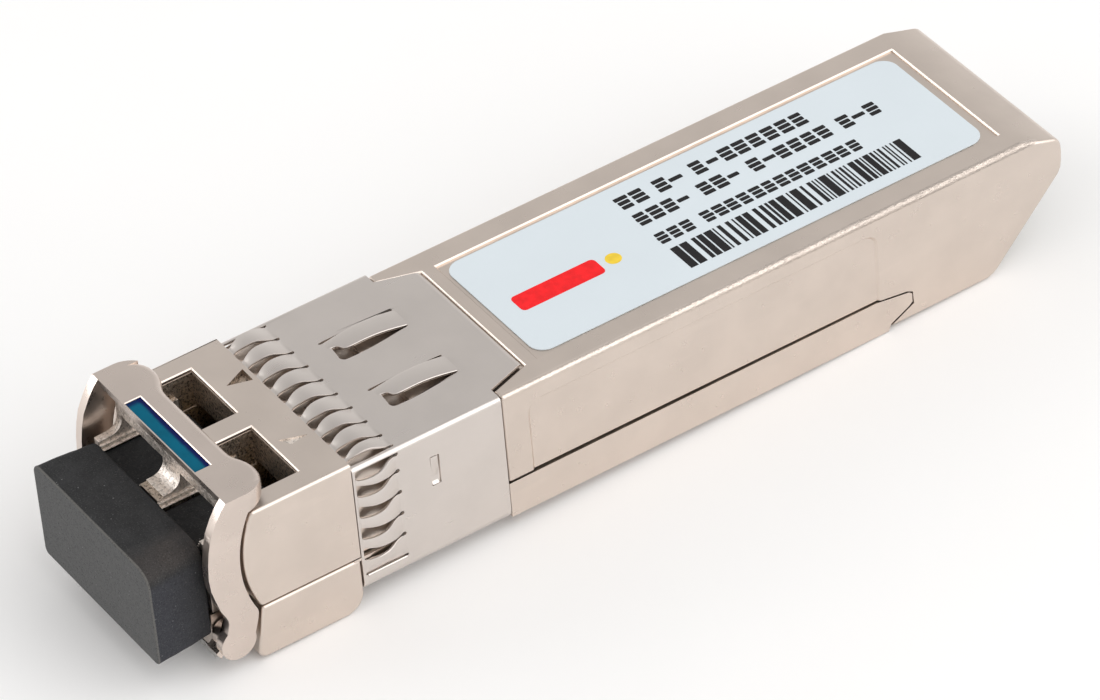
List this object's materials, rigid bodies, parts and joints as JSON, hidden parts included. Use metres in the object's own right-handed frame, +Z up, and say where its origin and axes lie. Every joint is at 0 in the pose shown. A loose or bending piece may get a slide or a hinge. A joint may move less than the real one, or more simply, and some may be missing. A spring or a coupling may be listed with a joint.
{
  "type": "optical transceiver module",
  "caption": "Pluggable optical transceiver with a duplex LC receptacle, bail latch, sprung EMI collar, printed label and a dust plug in its ports",
  "frame": {"origin": "bottom centre of the bounding box of the module with its dust plug in, at rest", "axes": "+X runs across the module, +Y runs along it from the fibre ports to the edge connector, and +Z points up through the label"},
  "size_m": [0.0146, 0.06, 0.0116],
  "materials": {
    "nickel_shell": "satin nickel plate over a zinc casting",
    "nickel_bail": "satin nickel plate over a zinc casting",
    "sheet_steel": "nickel-plated spring sheet",
    "pin_steel": "bare stainless steel",
    "enamel_blue": "glossy enamel",
    "plug_rubber": "matt conductive rubber",
    "label_film": "satin printed film",
    "board_green": "solder mask over glass epoxy",
    "can_gold": "gold-plated can and barrel",
    "sleeve_ceramic": "ground zirconia",
    "holder_plastic": "moulded plastic",
    "flex_amber": "polyimide film",
    "chip_black": "moulded epoxy",
    "inductor_gray": "sintered ferrite",
    "crystal_silver": "seam-welded lid",
    "capacitor_tan": "fired ceramic",
    "thermal_pink": "soft thermal pad"
  },
  "bodies": {
    "module": {"top_shell": "nickel_shell", "bottom_shell": "nickel_shell", "emi_collar": "sheet_steel", "bail_pivot_pin": "pin_steel", "latch_pivot_pin": "pin_steel", "latch_spring": "pin_steel", "label": "label_film", "tosa": "can_gold", "rosa": "can_gold", "tosa_sleeve": "sleeve_ceramic", "rosa_sleeve": "sleeve_ceramic", "osa_holder": "holder_plastic", "tosa_flex": "flex_amber", "rosa_flex": "flex_amber", "circuit_board": "board_green", "laser_driver": "chip_black", "limiting_amplifier": "chip_black", "microcontroller": "chip_black", "memory_chip": "chip_black", "crystal": "crystal_silver", "inductor_1": "inductor_gray", "inductor_2": "inductor_gray", "capacitor_1": "capacitor_tan", "capacitor_2": "capacitor_tan", "capacitor_3": "capacitor_tan", "capacitor_4": "capacitor_tan", "thermal_pad_front": "thermal_pink", "thermal_pad_rear": "thermal_pink", "board_spacer": "holder_plastic"},
    "bail": {"bail": "nickel_bail", "bail_color_bar": "enamel_blue"},
    "latch_rocker": {"latch_rocker": "pin_steel"},
    "dust_plug": {"dust_plug": "plug_rubber"}
  },
  "joints": [
    {"name": "bail_swing", "type": "hinge", "parent": "module", "child": "bail", "pos_m": [0, -0.02548, 0.0019], "axis": [1, 0, 0], "range_deg": [0, 90]},
    {"name": "latch_rocker_pivot", "type": "hinge", "parent": "module", "child": "latch_rocker", "pos_m": [0, -0.02243, 0.00075], "axis": [1, 0, 0], "range_deg": [0, 4], "deforming": ["latch_spring"]},
    {"name": "dust_plug_slide", "type": "slide", "parent": "module", "child": "dust_plug", "axis": [0, -1, 0], "range_m": [0, 0.025]}
  ],
  "couplings": [
    {"joint": "latch_rocker_pivot", "follows": "bail_swing", "ratio": 0.044444}
  ]
}
